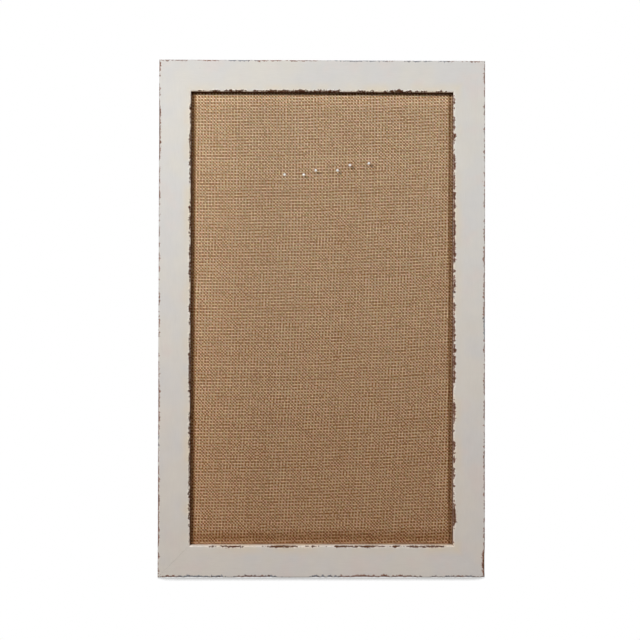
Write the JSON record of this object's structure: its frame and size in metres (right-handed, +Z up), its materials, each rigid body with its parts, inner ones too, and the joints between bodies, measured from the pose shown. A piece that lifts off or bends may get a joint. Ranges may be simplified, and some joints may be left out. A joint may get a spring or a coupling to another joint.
{
  "type": "bulletin board",
  "caption": "Upright wall bulletin board: a mitred, worn white frame round linen-wrapped cork, with pull-out pins and swinging D-ring hangers on the back.",
  "frame": {"origin": "middle of the top rail's flat back face, where the board lies on the wall", "axes": "+Z up along the board's height, +Y out of the back towards the wall, +X to the right as seen from the front"},
  "size_m": [0.4572, 0.0326, 0.7239],
  "materials": {
    "painted_wood": "matt off-white paint over a dark stain, rubbed through at the edges",
    "linen": "coarse natural plain weave",
    "cork": "bare cork",
    "hardboard": "bare hardboard",
    "bright_steel": "bright steel",
    "zinc_plate": "zinc-plated steel",
    "felt": "dense felt",
    "pearl": "glossy white"
  },
  "bodies": {
    "board": {"top_rail": "painted_wood", "bottom_rail": "painted_wood", "left_stile": "painted_wood", "right_stile": "painted_wood", "linen_cover": "linen", "cork_sheet": "cork", "hardboard_back": "hardboard", "v_nail_top_left_outer": "bright_steel", "v_nail_top_left_inner": "bright_steel", "v_nail_top_right_outer": "bright_steel", "v_nail_top_right_inner": "bright_steel", "v_nail_bottom_left_outer": "bright_steel", "v_nail_bottom_left_inner": "bright_steel", "v_nail_bottom_right_outer": "bright_steel", "v_nail_bottom_right_inner": "bright_steel", "framer_point_top_1": "bright_steel", "framer_point_top_2": "bright_steel", "framer_point_top_3": "bright_steel", "framer_point_bottom_1": "bright_steel", "framer_point_bottom_2": "bright_steel", "framer_point_bottom_3": "bright_steel", "framer_point_left_1": "bright_steel", "framer_point_left_2": "bright_steel", "framer_point_left_3": "bright_steel", "framer_point_left_4": "bright_steel", "framer_point_right_1": "bright_steel", "framer_point_right_2": "bright_steel", "framer_point_right_3": "bright_steel", "framer_point_right_4": "bright_steel", "left_hanger_strap": "zinc_plate", "left_hanger_screw": "bright_steel", "left_bumper": "felt", "right_hanger_strap": "zinc_plate", "right_hanger_screw": "bright_steel", "right_bumper": "felt"},
    "left_ring": {"left_hanger_ring": "zinc_plate"},
    "right_ring": {"right_hanger_ring": "zinc_plate"},
    "pin_1": {"pin_1_head": "pearl", "pin_1_needle": "bright_steel"},
    "pin_2": {"pin_2_head": "pearl", "pin_2_needle": "bright_steel"},
    "pin_3": {"pin_3_head": "pearl", "pin_3_needle": "bright_steel"},
    "pin_4": {"pin_4_head": "pearl", "pin_4_needle": "bright_steel"},
    "pin_5": {"pin_5_head": "pearl", "pin_5_needle": "bright_steel"},
    "pin_6": {"pin_6_head": "pearl", "pin_6_needle": "bright_steel"}
  },
  "joints": [
    {"name": "left_ring_swing", "type": "hinge", "parent": "board", "child": "left_ring", "pos_m": [-0.21038, 0.0024, -0.11378], "axis": [1, 0, 0], "range_deg": [0, 162]},
    {"name": "right_ring_swing", "type": "hinge", "parent": "board", "child": "right_ring", "pos_m": [0.21038, 0.0024, -0.11378], "axis": [1, 0, 0], "range_deg": [0, 162]},
    {"name": "pin_1_pull", "type": "slide", "parent": "board", "child": "pin_1", "axis": [0, -1, 0], "range_m": [-0.0016, 0.02]},
    {"name": "pin_2_pull", "type": "slide", "parent": "board", "child": "pin_2", "axis": [0, -1, 0], "range_m": [-0.0018, 0.02]},
    {"name": "pin_3_pull", "type": "slide", "parent": "board", "child": "pin_3", "axis": [0, -1, 0], "range_m": [-0.0029, 0.02]},
    {"name": "pin_4_pull", "type": "slide", "parent": "board", "child": "pin_4", "axis": [0, -1, 0], "range_m": [-0.0033, 0.02]},
    {"name": "pin_5_pull", "type": "slide", "parent": "board", "child": "pin_5", "axis": [0, -1, 0], "range_m": [-0.0026, 0.02]},
    {"name": "pin_6_pull", "type": "slide", "parent": "board", "child": "pin_6", "axis": [0, -1, 0], "range_m": [-0.0029, 0.02]}
  ]
}
